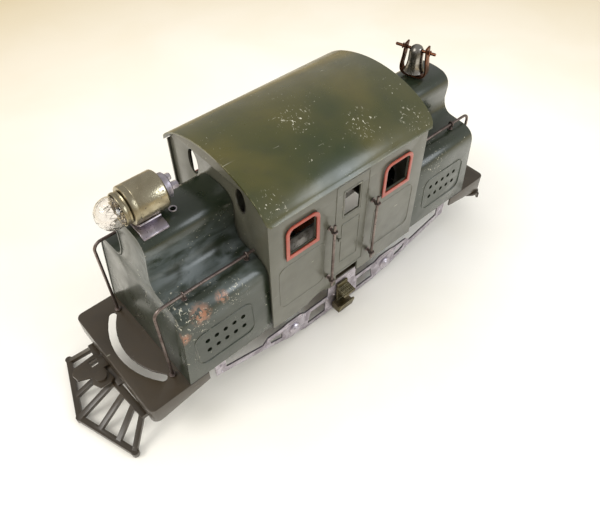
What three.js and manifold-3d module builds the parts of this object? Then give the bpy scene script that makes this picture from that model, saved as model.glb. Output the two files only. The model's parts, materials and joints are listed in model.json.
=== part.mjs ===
// Model electric locomotive: a pressed-steel steeple-cab engine for 32 mm track with a third-rail motor.
// Millimetres, +Z up, +X towards the headlight end, +Y to the left side. Every mesh is one loose piece.
import * as THREE from "three";
import { mergeVertices } from "three/addons/utils/BufferGeometryUtils.js";
import Module from "manifold-3d";

const wasm = await Module();
wasm.setup();

// ---------------------------------------------------------------- driving dimensions
const GAP = 0.3; // clearance between pieces that touch
const SHEET = 0.9; // thickness of the pressed sheet

const DECK_TOP = 25.5;
const DECK_LENGTH = 217;
const DECK_WIDTH = 64;
const DECK_SKIRT = 9.5; // depth of the turned-down edge at the ends
const DECK_CORNER = 3;
const SKIRT_START = 79.5; // the turned-down edge runs from here to each end

const HOOD_END = 89; // hood length from the middle, at deck height
const END_LEAN = { front: 0.08, rear: 0.035 }; // how far each hood end leans inwards for each mm of height
const CAB_HALF = 44;
const CAB_FACE = 33.1;
const ROOF_FRONT = 46.2;
const ROOF_REAR = -45.6;

const WHEELBASE = 62;
const FLANGE_R = 12;
const TREAD_R = 10.6;
const AXLE_R = 1.5;
const AXLE_Z = FLANGE_R;
const WHEEL_BACK = 14.3; // half of the distance between the wheel backs
const WHEEL_WIDTH = 5;

const MODULE_MM = 0.8; // gear tooth module
const TEETH = { wheel: 24, small: 14, large: 31, pinion: 10 };
const STUD = { x: 16.21, z: 15.5 }; // axis of each intermediate gear
const ARMATURE_Z = 18;
const PLATE_Y = 9.8; // inner face of the motor side plates

const FRONT_PIVOT = { x: 105.6, y: -9 }; // the short front coupler's pivot, under the platform's front edge
const SWING_X = 69; // the rear coupler's pivot, from the middle of the engine
const SWING_SLOT_R = 33.9; // radius of the curved slot about that pivot
const SWING_REST = 38; // degrees the rear coupler stands from the centre line

const LAMP = { x: 67.5, z: 102, r: 7.75, length: 14.5 };
const BELL = { x: -72, pin_height: 13.3, turn: 16.5 };

const CROWN_Z = 92; // top of the front hood
const REAR_CROWN_Z = 89; // top of the rear hood
const OVERHANG = 11.71; // from the middle of the platform to the middle of the whole engine

const deg = THREE.MathUtils.degToRad;

// ---------------------------------------------------------------- finishes
const finish = (color, roughness, metalness) =>
  new THREE.MeshStandardMaterial({ color, roughness, metalness });
const GREEN = finish("#2f3a26", 0.4, 0.1);
const BROWN = finish("#3d3024", 0.5, 0.2);
const RED = finish("#b5452f", 0.5, 0.1);
const NICKEL = finish("#a7a2a6", 0.35, 0.8);
const STEEL = finish("#83807c", 0.4, 0.8);
const BRASS = finish("#8d7a4c", 0.35, 0.8);
const COPPER = finish("#8a5f45", 0.4, 0.7);
const IRON = finish("#4a4642", 0.6, 0.5);
const FIBRE = finish("#5a3b2a", 0.8, 0);
const GLASS = finish("#f1ece4", 0.1, 0);

// ---------------------------------------------------------------- solids
const engine = new THREE.Group();

function asSolid(geometry) {
  const bare = new THREE.BufferGeometry();
  const source = geometry.index ? geometry.toNonIndexed() : geometry;
  bare.setAttribute("position", source.getAttribute("position").clone());
  const merged = mergeVertices(bare, 1e-4);
  return new wasm.Manifold(
    new wasm.Mesh({
      numProp: 3,
      vertProperties: merged.attributes.position.array,
      triVerts: new Uint32Array(merged.index.array),
    }),
  );
}

function asGeometry(solid) {
  const mesh = solid.getMesh();
  const geometry = new THREE.BufferGeometry();
  geometry.setAttribute("position", new THREE.BufferAttribute(new Float32Array(mesh.vertProperties), 3));
  geometry.setIndex(new THREE.BufferAttribute(new Uint32Array(mesh.triVerts), 1));
  geometry.computeVertexNormals();
  return geometry;
}

const join = (...pieces) => asGeometry(pieces.map(asSolid).reduce((a, b) => a.add(b)));
const cut = (body, ...tools) => asGeometry(tools.map(asSolid).reduce((a, b) => a.subtract(b), asSolid(body)));
const common = (a, b) => asGeometry(asSolid(a).intersect(asSolid(b)));

function add(name, geometry, material, parent = engine) {
  const mesh = new THREE.Mesh(geometry, material);
  mesh.name = name;
  parent.add(mesh);
  return mesh;
}

// ---------------------------------------------------------------- shapes
function box(x0, x1, y0, y1, z0, z1) {
  const geometry = new THREE.BoxGeometry(x1 - x0, y1 - y0, z1 - z0);
  return geometry.translate((x0 + x1) / 2, (y0 + y1) / 2, (z0 + z1) / 2);
}

const extrude = (shape, depth) => new THREE.ExtrudeGeometry(shape, { depth, bevelEnabled: false, curveSegments: 6 });

// A plan outline in X and Y, between two heights.
const plan = (shape, z0, z1) => extrude(shape, z1 - z0).translate(0, 0, z0);

// A side outline in X and Z, between two distances along Y.
const elevation = (shape, y0, y1) => extrude(shape, y1 - y0).rotateX(Math.PI / 2).translate(0, y1, 0);

// An end outline in Y and Z, between two distances along X.
function section(shape, x0, x1) {
  const turn = new THREE.Matrix4().makeBasis(
    new THREE.Vector3(0, 1, 0),
    new THREE.Vector3(0, 0, 1),
    new THREE.Vector3(1, 0, 0),
  );
  return extrude(shape, x1 - x0).applyMatrix4(turn).translate(x0, 0, 0);
}

const rodY = (r, y0, y1, x, z, sides = 16) =>
  new THREE.CylinderGeometry(r, r, y1 - y0, sides).translate(x, (y0 + y1) / 2, z);
const rodZ = (r, z0, z1, x, y, sides = 16) =>
  new THREE.CylinderGeometry(r, r, z1 - z0, sides).rotateX(Math.PI / 2).translate(x, y, (z0 + z1) / 2);
const rodX = (r, x0, x1, y, z, sides = 16) =>
  new THREE.CylinderGeometry(r, r, x1 - x0, sides).rotateZ(Math.PI / 2).translate((x0 + x1) / 2, y, z);

// An outline through corner points, always counter-clockwise so that its holes extrude cleanly.
function polygon(corners) {
  const points = corners.map(([a, b]) => new THREE.Vector2(a, b));
  return new THREE.Shape(THREE.ShapeUtils.isClockWise(points) ? points.reverse() : points);
}

function roundRect(x0, x1, y0, y1, r) {
  const shape = new THREE.Shape();
  shape.absarc(x1 - r, y0 + r, r, -Math.PI / 2, 0);
  shape.absarc(x1 - r, y1 - r, r, 0, Math.PI / 2);
  shape.absarc(x0 + r, y1 - r, r, Math.PI / 2, Math.PI);
  shape.absarc(x0 + r, y0 + r, r, Math.PI, 1.5 * Math.PI);
  return shape;
}

// A window outline: square at the sill, rounded at the top corners.
function windowOutline(half, z0, z1, r) {
  const shape = new THREE.Shape();
  shape.moveTo(-half, z0);
  shape.lineTo(half, z0);
  shape.absarc(half - r, z1 - r, r, 0, Math.PI / 2);
  shape.absarc(-half + r, z1 - r, r, Math.PI / 2, Math.PI);
  return shape;
}

// A line of points moved sideways by a distance, to the left of its direction of travel.
function offsetLine(points, distance) {
  return points.map((point, i) => {
    const before = points[Math.max(i - 1, 0)];
    const after = points[Math.min(i + 1, points.length - 1)];
    const along = after.clone().sub(before).normalize();
    return new THREE.Vector2(point.x - along.y * distance, point.y + along.x * distance);
  });
}

// A closed band between a line and the same line moved sideways.
const band = (points, distance) => new THREE.Shape([...points, ...offsetLine(points, distance).reverse()]);

// A symmetrical outline from the corner points of its positive half.
const symmetrical = (half) => polygon([...half, ...half.slice().reverse().map(([a, b]) => [-a, b])]);

const mirrored = (half) => [...half, ...half.slice(0, -1).reverse().map((p) => new THREE.Vector2(-p.x, p.y))];

// A round wire along straight stretches whose corners are bent to a radius.
function wire(points, r, bend, sides = 8) {
  const path = new THREE.CurvePath();
  let from = points[0];
  for (let i = 1; i < points.length - 1; i++) {
    const corner = points[i];
    const before = corner.clone().add(points[i - 1].clone().sub(corner).setLength(bend));
    const after = corner.clone().add(points[i + 1].clone().sub(corner).setLength(bend));
    path.add(new THREE.LineCurve3(from, before));
    path.add(new THREE.QuadraticBezierCurve3(before, corner, after));
    from = after;
  }
  path.add(new THREE.LineCurve3(from, points[points.length - 1]));
  const circle = new THREE.Shape();
  for (let i = 0; i < sides; i++) {
    const angle = (i * 2 * Math.PI) / sides;
    if (i === 0) circle.moveTo(r, 0);
    else circle.lineTo(r * Math.cos(angle), r * Math.sin(angle));
  }
  const steps = 7 * (points.length - 1);
  return new THREE.ExtrudeGeometry(circle, { steps, extrudePath: path });
}

const vec = (x, y, z) => new THREE.Vector3(x, y, z);

// ---------------------------------------------------------------- platform
function swingSlot(end) {
  const half = 1.7;
  const sweep = deg(38.5);
  const slot = new THREE.Shape();
  const tip = (angle) => [SWING_SLOT_R * Math.cos(angle), SWING_SLOT_R * Math.sin(angle)];
  slot.absarc(0, 0, SWING_SLOT_R + half, -sweep, sweep);
  slot.absarc(...tip(sweep), half, sweep, sweep + Math.PI);
  slot.absarc(0, 0, SWING_SLOT_R - half, sweep, -sweep, true);
  slot.absarc(...tip(-sweep), half, Math.PI - sweep, 2 * Math.PI - sweep);
  const tool = plan(slot, 20, 30).translate(SWING_X, 0, 0);
  return end < 0 ? tool.rotateZ(Math.PI) : tool;
}

function platform() {
  const halfLength = DECK_LENGTH / 2;
  const halfWidth = DECK_WIDTH / 2;
  const skirtBottom = DECK_TOP - DECK_SKIRT;
  const under = DECK_TOP - SHEET;
  const tray = plan(roundRect(-halfLength, halfLength, -halfWidth, halfWidth, DECK_CORNER), skirtBottom, DECK_TOP);
  const hollow = roundRect(
    -halfLength + SHEET,
    halfLength - SHEET,
    -halfWidth + SHEET,
    halfWidth - SHEET,
    DECK_CORNER - SHEET,
  );
  const tools = [
    plan(hollow, skirtBottom - 1, under),
    box(-SKIRT_START, SKIRT_START, -40, 40, 0, under),
    box(-SKIRT_START, SKIRT_START, halfWidth - SHEET, 40, 0, 40),
    box(-SKIRT_START, SKIRT_START, -40, SHEET - halfWidth, 0, 40),
    box(-46, 46, -22, 22, 0, 40),
  ];
  for (const end of [-1, 1]) {
    const rise = polygon([
      [SKIRT_START - 1, skirtBottom - 2],
      [halfLength - 5, skirtBottom - 2],
      [halfLength - 5, skirtBottom],
      [SKIRT_START - 1, skirtBottom + 4.5],
    ]);
    const taper = elevation(rise, -40, 40);
    tools.push(end < 0 ? taper.rotateZ(Math.PI) : taper);
    tools.push(swingSlot(end));
  }
  tools.push(rodZ(1.8, 20, 30, -SWING_X, 0));
  add("platform", cut(tray, ...tools), BROWN);
}

// ---------------------------------------------------------------- hoods
// Half of the bell-shaped section, from the deck up to the crown, as points in Y and Z.
function hoodHalf(crown) {
  const path = new THREE.Path();
  path.moveTo(31.9, DECK_TOP + GAP);
  path.lineTo(30.9, 59);
  path.quadraticCurveTo(30.6, 66.6, 22.5, 67);
  path.lineTo(16, 67.6);
  path.quadraticCurveTo(11, 68.2, 10.4, 75);
  path.lineTo(10.9, crown - 8);
  path.quadraticCurveTo(11.2, crown - 2.4, 6.5, crown - 0.7);
  path.quadraticCurveTo(3.5, crown, 0, crown);
  return path.getPoints(4);
}

// Leans the far end of a hood piece: its points move inwards with their height.
function leanEnd(geometry, lean) {
  const position = geometry.attributes.position;
  for (let i = 0; i < position.count; i++) {
    if (position.getX(i) < CAB_HALF + 10) continue;
    position.setX(i, position.getX(i) - lean * (position.getZ(i) - DECK_TOP));
  }
  return geometry;
}

function ventHoles(side) {
  const holes = [];
  const pitch = 4.45;
  for (let column = 0; column < 5; column++)
    for (const z of [40.2, 46.3])
      holes.push(rodY(1.15, side > 0 ? 28 : -34, side > 0 ? 34 : -28, 59 + column * pitch, z, 8));
  return holes;
}

// The bent sheet of one hood with its vents, and the plate that closes its far end.
function hoodPieces(crown, lean) {
  const outline = mirrored(hoodHalf(crown));
  const skin = leanEnd(section(band(outline, SHEET), CAB_HALF + GAP, HOOD_END), lean);
  const filled = new THREE.Shape(offsetLine(outline, SHEET + GAP));
  const endPlate = leanEnd(section(filled, HOOD_END - SHEET - 0.2, HOOD_END - 0.2), lean);
  return { skin: cut(skin, ...ventHoles(1), ...ventHoles(-1)), endPlate };
}

function hoods() {
  const front = hoodPieces(CROWN_Z, END_LEAN.front);
  const wireHole = rodZ(1.2, 80, 100, 65.5, 2.5, 8);
  add("front_hood", cut(front.skin, wireHole), GREEN);
  add("front_hood_end_plate", front.endPlate, GREEN);
  const rear = hoodPieces(REAR_CROWN_Z, END_LEAN.rear);
  const turned = new THREE.Group();
  turned.rotation.z = Math.PI;
  engine.add(turned);
  add("rear_hood", rear.skin, GREEN, turned);
  add("rear_hood_end_plate", rear.endPlate, GREEN, turned);
}

// ---------------------------------------------------------------- cab
const WINDOW_X = { front: 28, rear: -27 }; // centre of each side window
const EAVE_Y = 35.6;

// Half of the roof's section, from the eave lip up to the crown.
function roofHalf() {
  const crown = 107;
  const path = new THREE.Path();
  path.moveTo(EAVE_Y, 92.6);
  path.lineTo(34.6, 93.4);
  path.quadraticCurveTo(31.5, 98.6, 23, 102.5);
  path.quadraticCurveTo(11.8, crown, 0, crown);
  return path.getPoints(8);
}

function roof() {
  const sheet = section(band(mirrored(roofHalf()), SHEET), ROOF_REAR, ROOF_FRONT);
  const corners = plan(roundRect(ROOF_REAR, ROOF_FRONT, -EAVE_Y, EAVE_Y, 3), 80, 120);
  add("roof", common(sheet, corners), GREEN);
}

function cabSides() {
  const sill = DECK_TOP - 0.2;
  const top = 93.3;
  const outline = new THREE.Shape();
  const ends = CAB_HALF + SHEET;
  outline.moveTo(-ends, sill);
  outline.lineTo(-7, sill);
  outline.lineTo(-7, 32);
  outline.lineTo(7, 32);
  outline.lineTo(7, sill);
  outline.lineTo(10.5, sill);
  outline.quadraticCurveTo(17, 30.6, 25, sill);
  outline.lineTo(ends, sill);
  outline.lineTo(ends, top);
  outline.lineTo(-ends, top);
  const panel = elevation(outline, CAB_FACE - SHEET, CAB_FACE);
  const opening = (half, z0, z1, r, x) => elevation(windowOutline(half, z0, z1, r), 25, 40).translate(x, 0, 0);
  const left = cut(
    panel,
    opening(7.1, 68.5, 82.9, 2.6, WINDOW_X.front),
    opening(7.1, 68.5, 82.9, 2.6, WINDOW_X.rear),
    opening(4.4, 69.8, 83.3, 0.4, 0),
  );
  add("cab_side_left", left, GREEN);
  add("cab_side_right", mirrorY(left), GREEN);
}

// A mirrored copy across the centre plane, with its faces turned to point outwards again.
function mirrorY(geometry) {
  const source = geometry.index ? geometry.toNonIndexed() : geometry.clone();
  const position = source.attributes.position;
  const copy = new Float32Array(position.count * 3);
  for (let i = 0; i < position.count; i += 3)
    for (const [from, to] of [[0, 0], [1, 2], [2, 1]]) {
      const at = (i + to) * 3;
      copy[at] = position.getX(i + from);
      copy[at + 1] = -position.getY(i + from);
      copy[at + 2] = position.getZ(i + from);
    }
  const result = new THREE.BufferGeometry();
  result.setAttribute("position", new THREE.BufferAttribute(copy, 3));
  result.computeVertexNormals();
  return result;
}

function windowFrames() {
  const ring = windowOutline(8.9, 66.4, 84.6, 3.8);
  ring.holes.push(windowOutline(7.1, 68.5, 82.9, 2.6));
  const frame = elevation(ring, CAB_FACE + GAP, CAB_FACE + GAP + 0.7);
  for (const [end, x] of Object.entries(WINDOW_X)) {
    const left = frame.clone().translate(x, 0, 0);
    add(`window_frame_left_${end}`, left, RED);
    add(`window_frame_right_${end}`, mirrorY(left), RED);
  }
}

function cabEnds() {
  const arch = offsetLine(mirrored(roofHalf()), SHEET + GAP).filter((p) => Math.abs(p.x) < 31.6);
  const half = CAB_FACE - SHEET - GAP;
  const wall = new THREE.Shape([
    new THREE.Vector2(half, DECK_TOP + GAP),
    new THREE.Vector2(half, 93.5),
    ...arch,
    new THREE.Vector2(-half, 93.5),
    new THREE.Vector2(-half, DECK_TOP + GAP),
  ]);
  const plate = section(wall, CAB_HALF - SHEET, CAB_HALF);
  const doorway = section(roundRect(-20, 20, 20, 60, 3), 30, 60);
  const portholes = [-1, 1].map((side) => {
    const oval = new THREE.Shape();
    oval.absellipse(side * 15.6, 91, 3.3, 6.4, 0, 2 * Math.PI);
    return section(oval, 30, 60);
  });
  const front = cut(plate, doorway, ...portholes);
  add("cab_end_front", front, GREEN);
  add("cab_end_rear", front, GREEN).rotation.z = Math.PI;
}

// ---------------------------------------------------------------- handrails
const RAIL_R = 0.75;

function hoodHandrails() {
  const y = 22.6;
  const rail = 70;
  const leg = 91.8;
  const points = [vec(leg, y, DECK_TOP + GAP), vec(leg, y, rail), vec(45, y, rail)];
  const posts = [78.5, 48.5].map((x) => join(rodZ(0.9, 67.4, rail, x, y, 8), rodX(1.3, x - 1, x + 1, y, rail, 8)));
  const left = join(wire(points, RAIL_R, 4), ...posts);
  const right = mirrorY(left);
  add("hood_handrail_front_left", left, STEEL);
  add("hood_handrail_front_right", right, STEEL);
  add("hood_handrail_rear_left", right, STEEL).rotation.z = Math.PI;
  add("hood_handrail_rear_right", left, STEEL).rotation.z = Math.PI;
}

function cabHandrails() {
  const y = 36.2;
  const x = 12.8;
  const upright = rodZ(RAIL_R, 33, 72.5, x, y, 8);
  const posts = [36.5, 68.5].map((z) =>
    join(rodY(0.8, CAB_FACE + GAP, y, x, z, 8), rodZ(1.25, z - 1.1, z + 1.1, x, y, 8)),
  );
  const frontLeft = join(upright, ...posts);
  const rearLeft = frontLeft.clone().translate(-2 * x, 0, 0);
  add("cab_handrail_left_front", frontLeft, STEEL);
  add("cab_handrail_left_rear", rearLeft, STEEL);
  add("cab_handrail_right_front", mirrorY(frontLeft), STEEL);
  add("cab_handrail_right_rear", mirrorY(rearLeft), STEEL);
}

// ---------------------------------------------------------------- headlight
function latheX(profile, x, z, sides) {
  const outline = profile.map(([along, r]) => new THREE.Vector2(r, along));
  return new THREE.LatheGeometry(outline, sides).rotateZ(-Math.PI / 2).translate(x, 0, z);
}

function headlight() {
  const { x, z, r, length } = LAMP;
  const front = x + length;
  const barrel = [[0, 6.1], [0, r - 0.5], [0.5, r], [length - 0.5, r], [length, r - 0.5], [length, 5], [length - 1, 5]];
  barrel.push([length - 1, r - 1], [1, r - 1], [1, 6.1], [0, 6.1]);
  add("headlight_barrel", latheX(barrel, x, z, 24), BRASS);
  const socket = [[-5, 0], [-5, 4.6], [GAP, 4.6], [GAP, 6.5], [2.8, 6.5], [2.8, 6.1], [0.8, 5], [0.8, 3.1]];
  socket.push([-3, 3.1], [-3, 0]);
  add("headlight_socket", latheX(socket, front, z, 24), BRASS);
  const globe = 6.2;
  const centre = 5.2;
  const bulb = [[-2.5, 0], [-2.5, 2.7], [1, 2.8]];
  const rings = 9;
  for (let i = 0; i <= rings; i++) {
    const angle = deg(120) * (1 - i / rings);
    bulb.push([centre + globe * Math.cos(angle), i === rings ? 0 : globe * Math.sin(angle)]);
  }
  add("headlight_bulb", latheX(bulb, front, z, 20), GLASS);
  const cap = latheX([[-3.2, 0], [-3.2, 5], [-0.3, 5.7], [0.8, 5.7], [0.8, 0]], x, z, 20);
  const terminals = [-2.6, 2.6].map((y) => rodX(1.5, x - 6, x - 3, y, z + 0.6, 6));
  add("headlight_cap", join(cap, ...terminals), NICKEL);
  const saddle = new THREE.Path();
  saddle.absarc(0, z, r + GAP + 0.8, deg(-138), deg(-42));
  const cradle = section(band(saddle.getPoints(10), 0.8), 72, 81);
  const overCrown = section(band(offsetLine(mirrored(hoodHalf(CROWN_Z)), -GAP), -0.8), 71, 82);
  const plate = common(overCrown, box(70, 83, -8.6, 8.6, 80, 100));
  const block = box(73, 80, -3.4, 3.4, CROWN_Z + 0.6, CROWN_Z + 1.6);
  add("headlight_bracket", join(cradle, plate, block), NICKEL);
}

// ---------------------------------------------------------------- bell
function bellAndYoke() {
  const stand = new THREE.Group();
  stand.position.set(BELL.x, 0, 0);
  stand.rotation.z = deg(BELL.turn);
  engine.add(stand);
  const base = REAR_CROWN_Z + GAP;
  const pinZ = base + BELL.pin_height;
  const arm = new THREE.Path();
  arm.moveTo(5.6, pinZ + 2.6);
  arm.lineTo(6.6, base + 6);
  arm.quadraticCurveTo(7, base, 2.5, base);
  arm.lineTo(0, base);
  const strap = section(band(mirrored(arm.getPoints(5)), -0.9), -2, 2);
  const pinHole = rodY(1.0, -12, 12, 0, pinZ, 12);
  add("bell_yoke", cut(strap, pinHole), COPPER, stand);
  add("bell_pin", rodY(0.7, -10.6, 9.4, 0, pinZ, 12), COPPER, stand);
  const mouth = 10.6;
  const profile = [
    [0, 2.3],
    [1.6, 1.9],
    [2.9, 0.6],
    [3.4, -1.4],
    [3.5, -4.5],
    [3.8, -8],
    [4.9, -mouth],
    [4.1, -mouth],
    [3.1, -8],
    [2.8, -4.5],
    [2.2, -2.6],
    [0, -2],
  ].map(([r, z]) => new THREE.Vector2(r, z)).reverse();
  const shell = new THREE.LatheGeometry(profile, 24).rotateX(Math.PI / 2).translate(0, 0, pinZ);
  add("bell", cut(shell, pinHole), NICKEL, stand);
}

// ---------------------------------------------------------------- pilot and couplers
function bar(from, to, width, thick) {
  const along = to.clone().sub(from);
  const geometry = new THREE.BoxGeometry(width, thick, along.length());
  const side = new THREE.Vector3().crossVectors(along, vec(0, 0, 1)).normalize();
  const face = new THREE.Vector3().crossVectors(along, side).normalize();
  const turn = new THREE.Matrix4().makeBasis(side, face, along.clone().normalize());
  const middle = from.clone().add(to).multiplyScalar(0.5);
  return geometry.applyMatrix4(turn).translate(middle.x, middle.y, middle.z);
}

function pilot() {
  const nose = vec(130.4, 0, 1.9);
  const heel = vec(120.1, 29.9, 1.9);
  const head = vec(109.4, 22, 11.6);
  const pieces = [];
  const flip = (p) => vec(p.x, -p.y, p.z);
  for (const side of [(p) => p, flip]) {
    pieces.push(bar(side(nose), side(heel), 2.6, 2.6));
    for (const t of [0.36, 0.7, 0.985]) {
      const foot = nose.clone().lerp(heel, t);
      const top = vec(110.6, 0, 11.6).lerp(head, t);
      pieces.push(bar(side(foot), side(top), 2.3, 2));
    }
    pieces.push(bar(vec(110.6, 0, 11.6), side(vec(109.2, 23.6, 11.6)), 3, 2.4));
    pieces.push(rodZ(1.75, 0.6, 3.2, 120.1, side(heel).y, 10));
  }
  pieces.push(bar(nose, vec(110.6, 0, 11.6), 2.6, 2));
  const { x, y } = FRONT_PIVOT;
  const shelf = cut(box(103.3, 110.6, -15, 4.4, 12.4, 13.8), rodZ(1.3, 0, 20, x, y));
  const risers = [-15, 2.8].map((y0) => box(105.2, 107.3, y0, y0 + 1.6, 13, 24.2));
  add("pilot", join(...pieces, shelf, ...risers, rodZ(1.6, 0.5, 3.3, nose.x, 0, 10)), BROWN);
}

function frontCoupler() {
  const shape = new THREE.Shape();
  shape.absarc(0, 0, 2.4, deg(60), deg(300));
  const outline = [[3.9, -4], [5.4, -7], [15.9, -6.2], [17.9, -3], [17.2, 0.5], [11.9, 3], [12.9, 6.5], [11.4, 10],
    [6.4, 10.5], [4.4, 9], [5.4, 2]];
  outline.forEach(([along, across]) => shape.lineTo(along, across));
  const plate = cut(
    plan(shape, 14.1, 15.2),
    rodZ(1.3, 0, 30, 0, 0),
    plan(roundRect(5.6, 9.4, -5, -1.4, 0.4), 10, 20),
  );
  const swing = new THREE.Group();
  swing.position.set(FRONT_PIVOT.x, FRONT_PIVOT.y, 0);
  engine.add(swing);
  add("front_coupler", join(plate, rodZ(2.6, 14.6, 16.6, 8.6, 5.8)), BROWN, swing);
  const heads = [[11, 12.1], [15.5, 16.4]].map(([z0, z1]) => rodZ(1.9, z0, z1, 0, 0));
  add("front_coupler_rivet", join(...heads, rodZ(1, 11.5, 16, 0, 0)), STEEL, swing);
}

function rearCoupler() {
  const shape = new THREE.Shape();
  shape.absarc(0, 0, 4.5, deg(45), deg(315));
  shape.lineTo(34.5, -3);
  shape.lineTo(37.5, -5.6);
  shape.lineTo(45.5, -5.6);
  shape.quadraticCurveTo(50, -5, 50, -0.5);
  const jaw = [[46.9, -0.5], [45.9, -2.4], [43.9, -2.4], [43.9, 2.2], [40.5, 4.6], [34.5, 3]];
  jaw.forEach(([along, across]) => shape.lineTo(along, across));
  const plate = cut(
    plan(shape, 14.1, 15.2),
    rodZ(1.8, 0, 30, 0, 0),
    plan(roundRect(36.1, 40.9, -2.6, 1.8, 0.4), 10, 20),
  );
  const lip = box(48.8, 49.9, -4, -0.6, 11.3, 14.3);
  const swing = new THREE.Group();
  swing.position.x = -SWING_X;
  swing.rotation.z = deg(180 - SWING_REST);
  engine.add(swing);
  add("rear_coupler", join(plate, lip), BROWN, swing);
  const head = rodZ(3, 12.7, 13.7, 0, 0);
  const spacer = rodZ(2.8, 15.5, 24.3, 0, 0);
  const topHead = rodZ(3, DECK_TOP + GAP, 27, 0, 0);
  add("rear_coupler_rivet", join(head, rodZ(1.4, 13.1, 26.4, 0, 0), spacer, topHead), STEEL, swing);
}

// ---------------------------------------------------------------- side frames and steps
function sideFrames() {
  const half = [
    [9, 24.2], [9.4, 15.6], [24, 15.6], [27, 17.4], [35, 17.4], [38, 16.6], [47, 16.6], [50, 13.4],
    [70.5, 18.4], [70.5, 24.2], [76, 24.2], [76, 16.6], [51, 10.2], [38, 6], [33.5, 4.2], [28, 4.2], [24, 2.6],
  ];
  const y = 30;
  const openings = [];
  for (const end of [-1, 1]) {
    const beside = polygon([[11, 5.2], [22.6, 5.2], [20.8, 13], [10.6, 13]].map(([x, z]) => [end * x, z]));
    const outer = polygon([[38.6, 9], [45.4, 11], [46, 14], [38.6, 13]].map(([x, z]) => [end * x, z]));
    openings.push(elevation(beside, y - 1, y + 2), elevation(outer, y - 1, y + 2));
  }
  const plate = cut(elevation(symmetrical(half), y, y + 1), ...openings);
  const boxes = [-1, 1].map((end) => rodY(3.3, y + 0.5, y + 2.6, (end * WHEELBASE) / 2, 9.8, 14));
  const left = join(plate, ...boxes);
  add("side_frame_left", left, NICKEL);
  add("side_frame_right", mirrorY(left), NICKEL);
}

// A sloping upper tread and a lower step with an upturned lip, on one upright strip.
function steps() {
  const y = 31.3;
  const outer = 37.2;
  const back = box(-2.4, 4.2, y, y + 1.1, 6, 21.5);
  const upper = polygon([[y, 16.8], [y, 18.2], [outer, 17.3], [outer, 16]]);
  const lower = polygon([[y, 5], [36.4, 5], [37.7, 10.2], [37.7, 11.2], [36.8, 11.2], [35.8, 9.2], [y, 9.2]]);
  const left = join(back, section(upper, -3.2, 4.2), section(lower, -2.6, 6.6));
  add("step_left", left, BRASS);
  add("step_right", mirrorY(left), BRASS);
}

// ---------------------------------------------------------------- gears
// A spur gear outline: straight-flanked teeth with running backlash, one tooth centred on the phase angle.
function gearOutline(teeth, phase) {
  const pitch = (teeth * MODULE_MM) / 2;
  const tip = pitch + 0.8 * MODULE_MM;
  const root = pitch - 1.1 * MODULE_MM;
  const step = (2 * Math.PI) / teeth;
  const points = [];
  for (let i = 0; i < teeth; i++)
    for (const [radius, share] of [[root, -0.33], [tip, -0.1], [tip, 0.1], [root, 0.33]]) {
      const angle = phase + (i + share) * step;
      points.push([radius * Math.cos(angle), radius * Math.sin(angle)]);
    }
  return polygon(points);
}

// The phase of gear B that puts a gap where gear A has a tooth, for B in the direction theta from A.
function meshPhase(teethA, phaseA, teethB, theta) {
  const tooth = ((theta - phaseA) * teethA) / (2 * Math.PI);
  return theta + Math.PI - ((0.5 - tooth) * 2 * Math.PI) / teethB;
}

function gearY(teeth, phase, y0, y1, x, z) {
  return elevation(gearOutline(teeth, phase), y0, y1).translate(x, 0, z);
}

// Layers of the gear train outside the left motor plate.
const LAYER = { large: [11.2, 12.3], small: [12.3, 13.9], wheel: [12.6, 13.9] };

function gearTrain() {
  const phases = {};
  for (const end of [-1, 1]) {
    const toLarge = Math.atan2(STUD.z - ARMATURE_Z, end * STUD.x);
    const large = meshPhase(TEETH.pinion, 0, TEETH.large, toLarge);
    const toWheel = Math.atan2(AXLE_Z - STUD.z, end * (WHEELBASE / 2 - STUD.x));
    const wheel = meshPhase(TEETH.small, 0, TEETH.wheel, toWheel);
    const x = end * STUD.x;
    const cluster = join(
      gearY(TEETH.large, large, ...LAYER.large, x, STUD.z),
      gearY(TEETH.small, 0, LAYER.small[0] - 0.2, LAYER.small[1], x, STUD.z),
    );
    const name = end > 0 ? "intermediate_gear_front" : "intermediate_gear_rear";
    add(name, cut(cluster, rodY(1.6, 0, 20, x, STUD.z)), BRASS);
    phases[end] = wheel;
  }
  return phases;
}

// ---------------------------------------------------------------- wheels
function wheelSolid(x) {
  const back = WHEEL_BACK;
  const profile = [
    [1.8, 0], [11.2, 0], [FLANGE_R, 0.5], [11.9, 1.1], [TREAD_R + 0.1, 1.6], [TREAD_R - 0.2, WHEEL_WIDTH],
    [8.8, WHEEL_WIDTH], [8.2, 3], [3.8, 3], [3.4, WHEEL_WIDTH + 0.6], [1.8, WHEEL_WIDTH + 0.6], [1.8, 0],
  ].map(([r, along]) => new THREE.Vector2(r, along));
  return new THREE.LatheGeometry(profile, 24).translate(x, back, AXLE_Z);
}

function wheelsets(phases) {
  for (const [end, sign] of [["front", 1], ["rear", -1]]) {
    const x = (sign * WHEELBASE) / 2;
    const plain = wheelSolid(x);
    const teeth = gearY(TEETH.wheel, phases[sign], LAYER.wheel[0], WHEEL_BACK + 0.3, x, AXLE_Z);
    const bore = rodY(1.8, 0, 30, x, AXLE_Z, 24);
    add(`${end}_wheel_left`, cut(join(plain, teeth), bore), IRON);
    add(`${end}_wheel_right`, mirrorY(plain), IRON);
    add(`${end}_axle`, rodY(AXLE_R, -20.6, 20.6, x, AXLE_Z), STEEL);
  }
}

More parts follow.
